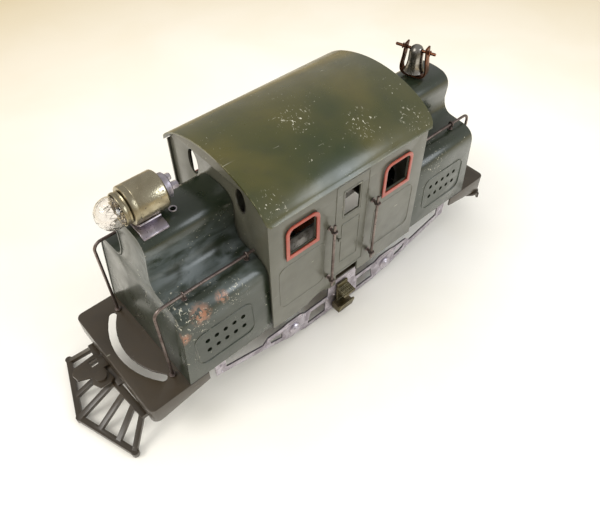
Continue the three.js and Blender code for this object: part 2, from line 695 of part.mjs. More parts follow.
// ---------------------------------------------------------------- motor
function motorFrame() {
  const half = [
    [16, 45], [19, 42], [19, 26], [26, 22.5], [38, 22.5], [38, 24.2], [52, 24.2], [52, 20.5], [42, 19.5],
    [38, 15], [38, 7], [34, 5.5],
  ];
  const outline = symmetrical(half);
  const plate = elevation(outline, PLATE_Y, PLATE_Y + 1);
  const holes = [rodY(1.6, 0, 20, 0, ARMATURE_Z)];
  for (const end of [-1, 1]) holes.push(rodY(AXLE_R + 0.2, 0, 20, (end * WHEELBASE) / 2, AXLE_Z));
  const lugs = [-1, 1].map((end) => box(end * 49.5 - 2.5, end * 49.5 + 2.5, PLATE_Y - 5, PLATE_Y + 1, 23.2, 24.2));
  const studs = [-1, 1].map((end) => rodY(1.3, PLATE_Y + 0.5, 14.1, end * STUD.x, STUD.z));
  add("motor_plate_left", join(cut(plate, ...holes), ...lugs, ...studs), STEEL);
  const brushHoles = [-1, 1].map((end) => rodY(1.9, 0, 20, end * 4.6, ARMATURE_Z));
  const right = mirrorY(join(cut(plate, ...holes, ...brushHoles), ...lugs));
  add("motor_plate_right", right, STEEL);
}

function motorField() {
  const block = box(-17, 17, -5.5, 5.5, 8, 41);
  const bore = rodY(11.1, -6, 6, 0, ARMATURE_Z, 28);
  const coilSpace = box(-9, 9, -6, 6, 31, 35);
  const gapBelow = box(-4, 4, -6, 6, 5, 12);
  add("field_core", cut(block, bore, coilSpace, gapBelow), IRON);
  const coil = cut(
    elevation(roundRect(-8.6, 8.6, 32, 44, 3), -9.2, 9.2),
    elevation(roundRect(-8.7, 8.7, 34.7, 41.3, 0.2), -5.8, 5.8),
  );
  add("field_coil", coil, COPPER);
}

function armature() {
  const z = ARMATURE_Z;
  const shape = new THREE.Shape();
  const r = 10.4;
  for (let pole = 0; pole < 3; pole++) {
    const middle = (pole * 2 * Math.PI) / 3 + Math.PI / 2;
    shape.absarc(0, 0, r, middle - deg(50), middle + deg(50));
    const notch = middle + deg(60);
    shape.lineTo(7 * Math.cos(notch - deg(8)), 7 * Math.sin(notch - deg(8)));
    shape.lineTo(7 * Math.cos(notch + deg(8)), 7 * Math.sin(notch + deg(8)));
  }
  const core = elevation(shape, -5.5, 5.5).translate(0, 0, z);
  const shaft = rodY(1.2, -12.8, 12.4, 0, z);
  const commutator = rodY(6.8, -8.6, -7.2, 0, z, 18);
  const collar = rodY(3, -7.4, 8.6, 0, z);
  const teeth = gearY(TEETH.pinion, 0, ...LAYER.large, 0, z);
  add("armature", join(core, shaft, commutator, collar, teeth), COPPER);
}

function brushes() {
  const z = ARMATURE_Z;
  const plate = cut(elevation(roundRect(-9, 9, 12.5, 23.5, 2), -12.3, -11.1), rodY(1.6, -20, 0, 0, z));
  const holders = [-4.6, 4.6].map((x) => rodY(1.5, -14.8, -9, x, z, 12));
  add("brush_plate", join(plate, ...holders), FIBRE);
}

// ---------------------------------------------------------------- current pick-up
const PICKUP = { pivotX: 15, pivotZ: 4.9, rollerX: 24, rollerZ: 3.9, rollerR: 3.2 };

function pickups() {
  const { pivotX, pivotZ, rollerX, rollerZ, rollerR } = PICKUP;
  const base = box(-11.5, 11.5, -9.2, 9.2, 5, 6.2);
  const lugs = [];
  for (const end of [-1, 1])
    for (const y of [-4.4, 3.2]) {
      const x = end * pivotX;
      lugs.push(box(Math.min(end * 11, x), Math.max(end * 11, x), y, y + 1.2, 4.1, 6.2));
    }
  const pins = [-1, 1].map((end) => rodY(0.6, -7.2, 7.2, end * pivotX, pivotZ, 8));
  add("pickup_plate", join(base, ...lugs, ...pins), FIBRE);
  for (const [name, end] of [["front", 1], ["rear", -1]]) {
    const link = polygon([
      [end * (pivotX - 1.6), pivotZ - 1.5],
      [end * (pivotX - 1.6), pivotZ + 1.5],
      [end * (rollerX + 1.6), rollerZ + 1.5],
      [end * (rollerX + 1.6), rollerZ - 1.5],
    ]);
    const arms = [-6.4, 5.4].map((y) => elevation(link, y, y + 1));
    const hole = rodY(0.9, -8, 8, end * pivotX, pivotZ, 8);
    const crossX = end * (pivotX + 3.2);
    const bridge = box(crossX - 1, crossX + 1, -6, 6, pivotZ + 0.2, pivotZ + 1.1);
    const pin = rodY(0.7, -6, 6, end * rollerX, rollerZ, 8);
    add(`pickup_arm_${name}`, join(cut(arms[0], hole), cut(arms[1], hole), bridge, pin), BRASS);
    const roller = new THREE.LatheGeometry(
      [[1, -4.8], [2.8, -4.8], [rollerR, -4.2], [rollerR, 4.2], [2.8, 4.8], [1, 4.8], [1, -4.8]]
        .map(([r, along]) => new THREE.Vector2(r, along)),
      16,
    ).translate(end * rollerX, 0, rollerZ);
    add(`pickup_roller_${name}`, roller, BRASS);
  }
}

platform();
hoods();
cabSides();
windowFrames();
cabEnds();
roof();
hoodHandrails();
cabHandrails();
headlight();
bellAndYoke();
pilot();
frontCoupler();
rearCoupler();
sideFrames();
steps();
wheelsets(gearTrain());
motorFrame();
motorField();
armature();
brushes();
pickups();

// The frame's origin is under the middle of the whole engine: the pilot reaches further than the rear coupler.
engine.position.x = -OVERHANG;

const locomotive = new THREE.Group();
locomotive.add(engine);
export default locomotive;
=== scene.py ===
"""Looks of the model electric locomotive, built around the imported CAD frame.

Shapes are written in millimetres from the middle of the platform, with +X forward, and are moved into
the frame's metres when a piece is made. Every piece keeps its origin at the frame's origin, so Object
coordinates in a material are positions on the engine.
"""
import json
import math

import bmesh
import bpy
from mathutils import Matrix, Vector


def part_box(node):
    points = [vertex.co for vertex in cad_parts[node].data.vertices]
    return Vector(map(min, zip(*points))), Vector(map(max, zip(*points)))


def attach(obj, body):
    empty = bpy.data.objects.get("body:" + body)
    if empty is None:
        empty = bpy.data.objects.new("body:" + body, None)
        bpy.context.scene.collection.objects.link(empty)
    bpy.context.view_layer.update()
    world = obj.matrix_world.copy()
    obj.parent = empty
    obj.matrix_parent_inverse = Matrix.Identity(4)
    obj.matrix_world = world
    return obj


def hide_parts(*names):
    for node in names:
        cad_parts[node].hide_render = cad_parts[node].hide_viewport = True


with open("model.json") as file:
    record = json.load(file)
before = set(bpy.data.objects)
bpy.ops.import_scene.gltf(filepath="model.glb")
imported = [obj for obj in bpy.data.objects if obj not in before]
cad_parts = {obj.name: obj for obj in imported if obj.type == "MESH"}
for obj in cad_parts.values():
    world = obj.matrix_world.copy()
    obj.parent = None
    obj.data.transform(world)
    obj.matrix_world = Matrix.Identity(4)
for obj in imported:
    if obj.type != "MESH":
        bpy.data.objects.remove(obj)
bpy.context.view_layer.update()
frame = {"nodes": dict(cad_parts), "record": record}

MM = 0.001
deck_low, deck_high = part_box("platform")
MIDDLE_X = (deck_low.x + deck_high.x) / 2
TO_FRAME = Matrix.Translation((MIDDLE_X, 0, 0)) @ Matrix.Scale(MM, 4)
TURNED = Matrix.Rotation(math.pi, 4, "Z")
MIRRORED = Matrix.Scale(-1, 4, (0, 1, 0))

DECK_Z = deck_high.z / MM
FRONT_CROWN_Z = 92
REAR_CROWN_Z = 89
FRONT_LEAN = 0.08
REAR_LEAN = 0.035
CAB_HALF = 44
CAB_FACE = 33.1
HOOD_END = 89
SHEET = 0.9
GAP = 0.3


# ------------------------------------------------------------------------------------- camera
def make_camera():
    """The photograph's viewpoint: from the front left, well above the roof."""
    azimuth = math.radians(138.83)
    elevation = math.radians(49.34)
    distance = 0.31209
    target = Vector((MIDDLE_X - 0.00004, -0.00036, 0.01224))
    back = Vector((
        math.sin(azimuth) * math.cos(elevation),
        -math.cos(azimuth) * math.cos(elevation),
        math.sin(elevation),
    ))
    data = bpy.data.cameras.new("camera")
    data.lens = 35.66
    data.sensor_width = 36
    data.clip_start = 0.01
    camera = bpy.data.objects.new("camera", data)
    bpy.context.collection.objects.link(camera)
    roll = Matrix.Rotation(math.radians(-0.27), 4, "Z")
    facing = back.to_track_quat("Z", "Y").to_matrix().to_4x4()
    camera.matrix_world = Matrix.Translation(target + distance * back) @ facing @ roll
    bpy.context.scene.camera = camera


# ------------------------------------------------------------------------------------- node helpers
class Surface:
    """A material's node tree, with one short call for each kind of node."""

    def __init__(self, name):
        self.material = bpy.data.materials.new(name)
        self.material.use_nodes = True
        self.tree = self.material.node_tree
        self.shader = self.tree.nodes["Principled BSDF"]
        self.place = self.node("ShaderNodeTexCoord").outputs["Object"]

    def node(self, kind, inputs=None, **settings):
        made = self.tree.nodes.new(kind)
        for key, value in settings.items():
            setattr(made, key, value)
        for key, value in (inputs or {}).items():
            self.put(made.inputs[key], value)
        return made

    def put(self, socket, value):
        if isinstance(value, bpy.types.NodeSocket):
            self.tree.links.new(value, socket)
        else:
            socket.default_value = value

    def set(self, **values):
        for key, value in values.items():
            self.put(self.shader.inputs[key.replace("_", " ")], value)

    def math(self, operation, a, b=0.0, clamp=False):
        return self.node("ShaderNodeMath", {0: a, 1: b}, operation=operation, use_clamp=clamp).outputs[0]

    def noise(self, size, detail=3.0, shift=0.0, stretch=(1, 1, 1), distortion=0.0):
        """Fractal noise whose patches are about `size` millimetres across."""
        scaled = self.node(
            "ShaderNodeMapping",
            {"Vector": self.place, "Location": (shift, shift, shift), "Scale": stretch},
        )
        inputs = {
            "Vector": scaled.outputs[0],
            "Scale": 1 / (size * MM),
            "Detail": detail,
            "Distortion": distortion,
        }
        return self.node("ShaderNodeTexNoise", inputs).outputs["Fac"]

    def ramp(self, value, low, high):
        """0 below `low`, 1 above `high`."""
        inputs = {"Value": value, "From Min": low, "From Max": high}
        return self.node("ShaderNodeMapRange", inputs, interpolation_type="SMOOTHSTEP").outputs["Result"]

    def mix(self, factor, a, b):
        made = self.node("ShaderNodeMix", data_type="RGBA")
        for socket, value in zip((made.inputs[0], made.inputs[6], made.inputs[7]), (factor, a, b)):
            self.put(socket, value)
        return made.outputs[2]

    def near(self, centre, radius, soft=0.5):
        """1 within `radius` millimetres of a place on the engine, fading out over its edge."""
        spot = self.node(
            "ShaderNodeVectorMath", {0: self.place, 1: tuple(TO_FRAME @ Vector(centre))}, operation="DISTANCE"
        ).outputs["Value"]
        inputs = {"Value": spot, "From Min": radius * (1 - soft) * MM, "From Max": radius * (1 + soft) * MM,
                  "To Min": 1.0, "To Max": 0.0}
        return self.node("ShaderNodeMapRange", inputs).outputs["Result"]

    def most(self, values):
        total = values[0]
        for value in values[1:]:
            total = self.math("MAXIMUM", total, value)
        return total

    def edges(self, low=0.02, high=0.22, reach=0.5):
        """Worn corners: 1 where rounding the corners would turn the surface."""
        rounded = self.node("ShaderNodeBevel", {"Radius": reach * MM}, samples=4).outputs["Normal"]
        flat = self.node("ShaderNodeNewGeometry").outputs["Normal"]
        agreement = self.node("ShaderNodeVectorMath", {0: rounded, 1: flat}, operation="DOT_PRODUCT")
        return self.ramp(self.math("SUBTRACT", 1.0, agreement.outputs["Value"]), low, high)

    def bump(self, height, strength, distance):
        inputs = {"Height": height, "Strength": strength, "Distance": distance * MM}
        self.set(Normal=self.node("ShaderNodeBump", inputs).outputs[0])


def grey(level):
    return (level, level, level, 1)


def enamel(name, deep, light, metal, rough=0.34, chips=0.70, flecks=(), rust=(), painted_sheen=()):
    """Old stove enamel: soft clouds, scuffs, worn edges, pale flecks, a painted bluish sheen of reflected
    light, and rust showing through.
    """
    s = Surface(name)
    cloud = s.ramp(s.noise(48, 3, distortion=0.4), 0.30, 0.72)
    grime = s.ramp(s.noise(6, 6, shift=3.1), 0.45, 0.80)
    colour = s.mix(cloud, deep, light)
    colour = s.mix(s.math("MULTIPLY", grime, 0.16), colour, grey(0.02))
    # Painted reflection: a pale blue-grey sheen in streaks where the hood's valleys reflect the window light.
    if painted_sheen:
        zone = s.most([s.near(centre, radius, 0.8) for centre, radius in painted_sheen])
        sheen_streaks = s.ramp(s.noise(7, 5, shift=5.9, stretch=(0.5, 1, 1), distortion=0.5), 0.36, 0.66)
        colour = s.mix(s.math("MULTIPLY", zone, sheen_streaks), colour, (0.15, 0.175, 0.18, 1))
    sparse = s.ramp(s.noise(14, 2, shift=7.7), 0.48, 0.66)
    speck = s.ramp(s.noise(1.1, 2, shift=1.3), chips, chips + 0.02)
    fleck = s.math("MULTIPLY", speck, sparse)
    if flecks:
        zone = s.most([s.near(centre, radius) for centre, radius in flecks])
        dense = s.ramp(s.noise(1.0, 3, shift=4.4, stretch=(1, 0.5, 1), distortion=0.8), 0.63, 0.66)
        fleck = s.math("MAXIMUM", fleck, s.math("MULTIPLY", dense, zone))
    scratch = s.ramp(s.noise(0.9, 1, shift=9.1, stretch=(0.10, 1, 1), distortion=0.4), 0.74, 0.77)
    scratch = s.math("MULTIPLY", scratch, s.ramp(s.noise(30, 1, shift=5.5), 0.5, 0.62))
    bare = s.math("MAXIMUM", fleck, s.math("MULTIPLY", scratch, 0.7))
    worn = s.math("MULTIPLY", s.edges(), s.ramp(s.noise(3.5, 4, shift=2.2), 0.48, 0.66))
    colour = s.mix(s.math("MULTIPLY", worn, 0.7), colour, metal)
    colour = s.mix(bare, colour, (0.55, 0.53, 0.42, 1))
    if rust:
        zone = s.most([s.near(centre, radius, 0.7) for centre, radius in rust])
        ragged = s.ramp(s.noise(1.6, 5, shift=8.3, distortion=0.5), 0.40, 0.56)
        rusty = s.math("MULTIPLY", zone, ragged)
        tone = s.mix(s.noise(3, 4, shift=6.1), (0.30, 0.085, 0.022, 1), (0.42, 0.25, 0.17, 1))
        colour = s.mix(rusty, colour, tone)
        bare = s.math("MAXIMUM", bare, rusty)
    polish = s.ramp(s.noise(9, 5, shift=6.6), 0.3, 0.7)
    roughness = s.math("ADD", s.math("MULTIPLY", polish, 0.16), rough - 0.08)
    roughness = s.math("ADD", roughness, s.math("MULTIPLY", bare, 0.35), clamp=True)
    s.set(Base_Color=colour, Roughness=roughness, Coat_Weight=0.6, Coat_Roughness=0.2)
    orange_peel = s.math("MULTIPLY", s.noise(1.6, 3, shift=1.9), 0.12)
    dents = s.math("MULTIPLY", s.noise(20, 1, shift=2.7), 1.4)
    height = s.math("SUBTRACT", s.math("ADD", orange_peel, dents), s.math("MULTIPLY", bare, 0.3))
    s.bump(height, 0.5, 0.35)
    return s.material


def old_metal(name, bright, dull, stain, rough=0.32, stain_size=6, grain=(1, 1, 1), worn=None):
    """Plated or bare metal gone dull: stains, fine brushing, pits, and brighter corners where it's handled."""
    s = Surface(name)
    tarnish = s.ramp(s.noise(stain_size, 5, distortion=0.7), 0.36, 0.66)
    spots = s.ramp(s.noise(1.0, 4, shift=3.3), 0.60, 0.68)
    colour = s.mix(tarnish, bright, dull)
    colour = s.mix(s.math("MULTIPLY", spots, 0.8), colour, stain)
    colour = s.mix(s.math("MULTIPLY", s.edges(), 0.85), colour, worn or bright)
    brushing = s.noise(0.5, 2, shift=5.2, stretch=grain)
    roughness = s.math("ADD", s.math("MULTIPLY", tarnish, 0.22), rough)
    roughness = s.math("ADD", roughness, s.math("MULTIPLY", spots, 0.25), clamp=True)
    metallic = s.math("SUBTRACT", 1.0, s.math("MULTIPLY", spots, 0.6))
    s.set(Base_Color=colour, Roughness=roughness, Metallic=metallic)
    s.bump(s.math("ADD", brushing, s.math("MULTIPLY", spots, -0.6)), 0.35, 0.12)
    return s.material


def fibre_board(name):
    """Pressed insulating board: mottled brown with short fibres."""
    s = Surface(name)
    fibres = s.noise(0.6, 6, stretch=(1, 0.2, 1))
    colour = s.mix(fibres, (0.05, 0.022, 0.012, 1), (0.14, 0.06, 0.035, 1))
    s.set(Base_Color=colour, Roughness=s.math("ADD", s.math("MULTIPLY", fibres, 0.2), 0.6))
    s.bump(fibres, 0.4, 0.2)
    return s.material


def winding(name):
    """Enamelled copper wire wound side by side."""
    s = Surface(name)
    turns = s.node(
        "ShaderNodeTexWave",
        {"Vector": s.place, "Scale": 380.0, "Distortion": 0.6, "Detail": 1.0},
        wave_type="BANDS", bands_direction="Y",
    ).outputs["Fac"]
    colour = s.mix(turns, (0.10, 0.025, 0.012, 1), (0.42, 0.15, 0.06, 1))
    s.set(Base_Color=colour, Roughness=s.math("ADD", s.math("MULTIPLY", turns, -0.1), 0.42), Metallic=0.6)
    s.bump(turns, 0.8, 0.4)
    return s.material


def blown_glass(name):
    """Clear old glass with faint swirls and dust."""
    s = Surface(name)
    swirl = s.noise(4, 2, distortion=1.2)
    dust = s.ramp(s.noise(1.2, 5, shift=2.4), 0.5, 0.75)
    colour = s.mix(dust, (1.0, 0.98, 0.96, 1), (0.86, 0.82, 0.80, 1))
    s.set(Base_Color=colour, Roughness=s.math("ADD", s.math("MULTIPLY", dust, 0.12), 0.02))
    s.set(Transmission_Weight=1.0, IOR=1.45)
    s.bump(swirl, 0.5, 0.5)
    return s.material


def cloth_floor(name):
    """Pale cream cotton, gently creased, with a painted fall-off of light that turns it tan away from the
    engine.
    """
    s = Surface(name)
    shade = s.ramp(s.noise(90, 3, distortion=0.4), 0.3, 0.7)
    lit = s.mix(shade, (0.93, 0.90, 0.82, 1), (0.97, 0.95, 0.90, 1))
    # Painted light fall-off: the cloth turns tan away from the engine, where the light is weaker.
    colour = s.mix(s.near((-10, 30, 0), 330, 0.5), (0.55, 0.44, 0.25, 1), lit)
    s.set(Base_Color=colour, Roughness=0.9, Specular_IOR_Level=0.1)
    weave = s.math("ADD", s.math("MULTIPLY", s.noise(0.7, 2), 0.05), s.noise(45, 3, shift=1.0))
    s.bump(weave, 0.25, 3.0)
    return s.material


SHOULDER_FLECKS = (((84, 28, 62), 9), ((78, 30, 60), 6), ((60, 30, 62), 5), ((-60, 29, 63), 7))
SHOULDER_RUST = (((76.5, 29.5, 62.5), 3.2), ((66, 29, 64), 2.0), ((86.0, 31.2, 56), 2.2))
# Where the hood shows a painted reflection of the window light, as a pale blue-grey sheen.
HOOD_PAINTED_SHEEN = (((72, 15, 70), 13), ((54, 17, 69), 11), ((82, 13, 86), 6))
ROOF_FLECKS = (((40, 31, 98), 5), ((8, 6, 107), 6), ((-14, 22, 103), 6), ((-36, 30, 99), 5))

PAINT = {
    "hood": enamel("green_enamel_hood", (0.012, 0.020, 0.010, 1), (0.024, 0.032, 0.017, 1),
                   (0.20, 0.18, 0.13, 1),
                   flecks=SHOULDER_FLECKS, rust=SHOULDER_RUST, painted_sheen=HOOD_PAINTED_SHEEN),
    # The same green enamel, lightened to grey-olive: painted reflection of the bright cloth on the cab's
    # upright walls.
    "cab": enamel("green_enamel_cab_painted_sheen", (0.078, 0.077, 0.055, 1), (0.098, 0.096, 0.070, 1), (0.22, 0.19, 0.14, 1),
                  rough=0.40, chips=0.75),
    "roof": enamel("green_enamel_roof", (0.022, 0.034, 0.007, 1), (0.086, 0.074, 0.012, 1),
                   (0.55, 0.50, 0.30, 1),
                   rough=0.34, chips=0.70, flecks=ROOF_FLECKS),
    "brown": enamel("brown_enamel", (0.028, 0.019, 0.009, 1), (0.046, 0.031, 0.015, 1), (0.16, 0.11, 0.06, 1),
                    rough=0.40, chips=0.77),
    "red": enamel("red_enamel", (0.30, 0.034, 0.016, 1), (0.40, 0.055, 0.024, 1), (0.60, 0.28, 0.16, 1),
                  rough=0.38, chips=0.74),
}
METAL = {
    "nickel": old_metal("tarnished_nickel", (0.60, 0.56, 0.62, 1), (0.36, 0.32, 0.36, 1),
                        (0.08, 0.065, 0.06, 1),
                        worn=(0.75, 0.70, 0.70, 1)),
    "bell": old_metal("bell_nickel", (0.36, 0.34, 0.31, 1), (0.13, 0.12, 0.10, 1), (0.05, 0.04, 0.03, 1),
                      rough=0.22,
                      worn=(0.8, 0.78, 0.72, 1)),
    "rail": old_metal("mauve_steel", (0.27, 0.22, 0.20, 1), (0.15, 0.115, 0.105, 1), (0.05, 0.035, 0.03, 1),
                      stain_size=9, worn=(0.42, 0.34, 0.32, 1)),
    "steel": old_metal("dull_steel", (0.40, 0.38, 0.36, 1), (0.22, 0.20, 0.18, 1), (0.06, 0.05, 0.04, 1)),
    "brass": old_metal("aged_brass", (0.47, 0.42, 0.30, 1), (0.27, 0.23, 0.15, 1), (0.10, 0.08, 0.05, 1),
                       rough=0.24,
                       stain_size=12, worn=(0.74, 0.65, 0.42, 1)),
    "step": old_metal("worn_step_steel", (0.20, 0.17, 0.09, 1), (0.09, 0.075, 0.04, 1), (0.04, 0.03, 0.02, 1),
                      rough=0.38, worn=(0.72, 0.66, 0.48, 1)),
    "gear": old_metal("gear_brass", (0.62, 0.44, 0.16, 1), (0.34, 0.23, 0.09, 1), (0.10, 0.07, 0.03, 1)),
    "copper": old_metal("tarnished_copper", (0.26, 0.10, 0.05, 1), (0.09, 0.045, 0.028, 1),
                        (0.03, 0.02, 0.015, 1)),
    "iron": old_metal("cast_iron", (0.16, 0.15, 0.14, 1), (0.07, 0.065, 0.06, 1), (0.10, 0.035, 0.015, 1),
                      rough=0.45,
                      worn=(0.45, 0.43, 0.40, 1)),
}
FIBRE = fibre_board("fibre_board")
WINDING = winding("coil_winding")
GLASS = blown_glass("bulb_glass")


# ------------------------------------------------------------------------------------- mesh helpers
def temporary(bm, name="work"):
    mesh = bpy.data.meshes.new(name)
    bm.to_mesh(mesh)
    bm.free()
    obj = bpy.data.objects.new(name, mesh)
    bpy.context.collection.objects.link(obj)
    return obj


def with_modifiers(obj):
    """The object's mesh after its modifiers, as a bmesh. The object itself is removed."""
    bpy.context.view_layer.update()
    depsgraph = bpy.context.evaluated_depsgraph_get()
    mesh = bpy.data.meshes.new_from_object(obj.evaluated_get(depsgraph))
    bm = bmesh.new()
    bm.from_mesh(mesh)
    bpy.data.objects.remove(obj)
    bpy.data.meshes.remove(mesh)
    return bm


def carve(bm, cutters, operation="DIFFERENCE"):
    body = temporary(bm)
    tools = [temporary(cutter, "cutter") for cutter in cutters]
    for tool in tools:
        modifier = body.modifiers.new("cut", "BOOLEAN")
        modifier.operation = operation
        modifier.object = tool
        modifier.solver = "EXACT"
    result = with_modifiers(body)
    for tool in tools:
        bpy.data.objects.remove(tool)
    return result


def joined(*parts):
    whole = bmesh.new()
    for part in parts:
        mesh = bpy.data.meshes.new("part")
        part.to_mesh(mesh)
        part.free()
        whole.from_mesh(mesh)
        bpy.data.meshes.remove(mesh)
    return whole


def moved(bm, matrix):
    copy = bm.copy()
    bmesh.ops.transform(copy, matrix=matrix, verts=copy.verts)
    if matrix.determinant() < 0:
        bmesh.ops.reverse_faces(copy, faces=copy.faces)
    return copy


def softened(bm, width, segments=2, angle=32):
    """Rounds every corner sharper than `angle` degrees by `width` millimetres."""
    obj = temporary(bm)
    modifier = obj.modifiers.new("round", "BEVEL")
    modifier.width = width
    modifier.segments = segments
    modifier.limit_method = "ANGLE"
    modifier.angle_limit = math.radians(angle)
    modifier.use_clamp_overlap = True
    return with_modifiers(obj)


BODY_OF = {node: body for body, nodes in frame["record"]["behaviour"]["bodies"].items() for node in nodes}


def piece(name, bm, material, *nodes, slot=None, body=None):
    """Makes a piece from a bmesh in millimetres; it rides with, and stands for, the CAD nodes named."""
    bmesh.ops.transform(bm, matrix=TO_FRAME, verts=bm.verts)
    mesh = bpy.data.meshes.new(name)
    bm.to_mesh(mesh)
    bm.free()
    mesh.polygons.foreach_set("use_smooth", [True] * len(mesh.polygons))
    mesh.set_sharp_from_angle(angle=math.radians(38))
    mesh.materials.append(material)
    obj = bpy.data.objects.new(name, mesh)
    bpy.context.collection.objects.link(obj)
    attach(obj, body or BODY_OF[nodes[0]])
    if nodes and body is None:
        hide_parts(*nodes)
    return obj


def from_cad(node):
    """A CAD node's mesh in millimetres from the middle of the platform, welded, with its flat faces whole."""
    bm = bmesh.new()
    bm.from_mesh(frame["nodes"][node].data)
    bmesh.ops.transform(bm, matrix=TO_FRAME.inverted(), verts=bm.verts)
    bmesh.ops.remove_doubles(bm, verts=bm.verts, dist=0.002)
    bmesh.ops.dissolve_limit(bm, angle_limit=math.radians(1.5), verts=bm.verts, edges=bm.edges)
    return bm


def refined(node, material, width=0.18, segments=2):
    return piece(f"{node}_fine", softened(from_cad(node), width, segments), material, node)


def arc(centre, radius, start, end, steps):
    """Points on an arc, angles in degrees."""
    points = []
    for i in range(steps + 1):
        angle = math.radians(start + (end - start) * i / steps)
        points.append((centre[0] + radius * math.cos(angle), centre[1] + radius * math.sin(angle)))
    return points


def curve_through(a, control, b, steps):
    """Points on a quadratic curve, without its first point."""
    points = []
    for i in range(1, steps + 1):
        t = i / steps
        weights = ((1 - t) ** 2, 2 * t * (1 - t), t * t)
        points.append(tuple(sum(w * v for w, v in zip(weights, axis)) for axis in zip(a, control, b)))
    return points


def rounded_box(x0, x1, y0, y1, radius, steps=6):
    return (
        arc((x1 - radius, y0 + radius), radius, -90, 0, steps)
        + arc((x1 - radius, y1 - radius), radius, 0, 90, steps)
        + arc((x0 + radius, y1 - radius), radius, 90, 180, steps)
        + arc((x0 + radius, y0 + radius), radius, 180, 270, steps)
    )


def window_outline(half, z0, z1, radius, centre=0.0, steps=6):
    """Square at the sill, rounded at the top."""
    return (
        [(centre - half, z0), (centre + half, z0)]
        + arc((centre + half - radius, z1 - radius), radius, 0, 90, steps)
        + arc((centre - half + radius, z1 - radius), radius, 90, 180, steps)
    )


PLAN = Matrix.Identity(4)
ELEVATION = Matrix(((1, 0, 0, 0), (0, 0, 1, 0), (0, 1, 0, 0), (0, 0, 0, 1)))
SECTION = Matrix(((0, 0, 1, 0), (1, 0, 0, 0), (0, 1, 0, 0), (0, 0, 0, 1)))


def plate(outlines, low, high, facing=PLAN, round_edge=0.12):
    """A flat plate with holes and rounded edges, from `low` to `high` along the way it faces."""
    curve = bpy.data.curves.new("plate", "CURVE")
    curve.dimensions = "2D"
    curve.fill_mode = "BOTH"
    curve.extrude = (high - low) / 2 - round_edge
    curve.bevel_depth = round_edge
    curve.bevel_resolution = 1
    curve.offset = -round_edge
    for outline in outlines:
        spline = curve.splines.new("POLY")
        spline.points.add(len(outline) - 1)
        for point, (a, b) in zip(spline.points, outline):
            point.co = (a, b, 0, 1)
        spline.use_cyclic_u = True
    obj = bpy.data.objects.new("plate", curve)
    bpy.context.collection.objects.link(obj)
    bm = with_modifiers(obj)
    bpy.data.curves.remove(curve)
    bmesh.ops.remove_doubles(bm, verts=bm.verts, dist=0.001)
    bmesh.ops.transform(bm, matrix=facing @ Matrix.Translation((0, 0, (low + high) / 2)), verts=bm.verts)
    bmesh.ops.recalc_face_normals(bm, faces=bm.faces)
    return bm


def lathe(profile, segments, axis):
    """Turns (radius, distance) points about the local Z axis, then places it by a matrix."""
    bm = bmesh.new()
    rings = []
    for radius, along in profile:
        if radius < 1e-6:
            rings.append([bm.verts.new((0, 0, along))])
            continue
        angles = [2 * math.pi * i / segments for i in range(segments)]
        rings.append([bm.verts.new((radius * math.cos(a), radius * math.sin(a), along)) for a in angles])
    for first, second in zip(rings, rings[1:]):
        for i in range(segments):
            j = (i + 1) % segments
            corners = [
                first[i % len(first)],
                first[j % len(first)],
                second[j % len(second)],
                second[i % len(second)],
            ]
            unique = list(dict.fromkeys(corners))
            if len(unique) > 2:
                bm.faces.new(unique)
    bmesh.ops.remove_doubles(bm, verts=bm.verts, dist=1e-5)
    bmesh.ops.recalc_face_normals(bm, faces=bm.faces)
    bmesh.ops.transform(bm, matrix=axis, verts=bm.verts)
    return bm


def axis_x(x, y, z):
    return Matrix.Translation((x, y, z)) @ Matrix.Rotation(math.pi / 2, 4, "Y")


def axis_y(x, y, z):
    return Matrix.Translation((x, y, z)) @ Matrix.Rotation(-math.pi / 2, 4, "X")


def rod(radius, length, axis, segments=24, edge=0.2):
    near_end = [(0, 0), (radius - edge, 0), (radius, edge)]
    far_end = [(radius, length - edge), (radius - edge, length), (0, length)]
    profile = near_end + far_end
    return lathe(profile, segments, axis)


def dome(radius, height, axis, segments=12):
    """A rivet head."""
    profile = [(radius, -0.2)] + [
        (radius * math.cos(a), height * math.sin(a)) for a in (0.0, 0.5, 1.0, 1.35)
    ] + [(0, height)]
    return lathe([(0, -0.2)] + profile, segments, axis)


def wire(points, radius, closed=False, resolution=3):
    """A round wire along a line of points."""
    curve = bpy.data.curves.new("wire", "CURVE")
    curve.dimensions = "3D"
    curve.bevel_depth = radius
    curve.bevel_resolution = resolution
    curve.use_fill_caps = not closed
    spline = curve.splines.new("POLY")
    spline.points.add(len(points) - 1)
    for point, co in zip(spline.points, points):
        point.co = (*co, 1)
    spline.use_cyclic_u = closed
    obj = bpy.data.objects.new("wire", curve)
    bpy.context.collection.objects.link(obj)
    bm = with_modifiers(obj)
    bpy.data.curves.remove(curve)
    bmesh.ops.remove_doubles(bm, verts=bm.verts, dist=0.001)
    bmesh.ops.recalc_face_normals(bm, faces=bm.faces)
    return bm


def offset_line(points, distance):
    """The line moved to the left of its direction of travel."""
    result = []
    for i, (a, b) in enumerate(points):
        before = points[max(i - 1, 0)]
        after = points[min(i + 1, len(points) - 1)]
        along = Vector((after[0] - before[0], after[1] - before[1])).normalized()
        result.append((a - along.y * distance, b + along.x * distance))
    return result


def both_sides(half):
    return half + [(-a, b) for a, b in reversed(half[:-1])]


